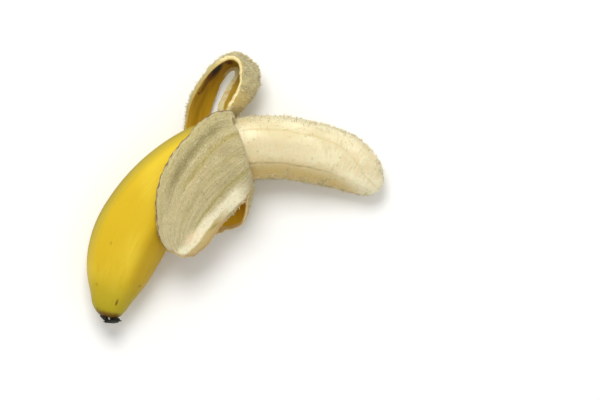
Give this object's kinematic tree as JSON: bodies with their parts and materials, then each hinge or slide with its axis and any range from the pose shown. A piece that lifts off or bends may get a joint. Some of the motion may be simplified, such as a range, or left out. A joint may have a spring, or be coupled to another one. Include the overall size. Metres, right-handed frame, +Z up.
{
  "type": "partly peeled banana",
  "caption": "Partly peeled banana lying on its side: a curved sleeve of yellow peel, torn strips folded back and looped, and pale flesh running out to a blunt tip.",
  "frame": {"origin": "on the surface that the banana lies on, under the middle of its box", "axes": "+X along the width of the laid banana, from the closed end's side to the flesh's tip; +Y level, towards the looped strip; +Z up"},
  "size_m": [0.1482, 0.1344, 0.0482],
  "materials": {
    "peel": "smooth waxy yellow skin outside, fibrous cream pith inside",
    "flesh": "soft moist cream pulp with faint fibres",
    "blossom_tip": "dry black crumbly flower remnant"
  },
  "bodies": {
    "root": {"peel": "peel", "flesh": "flesh", "blossom_tip": "blossom_tip"}
  },
  "joints": []
}
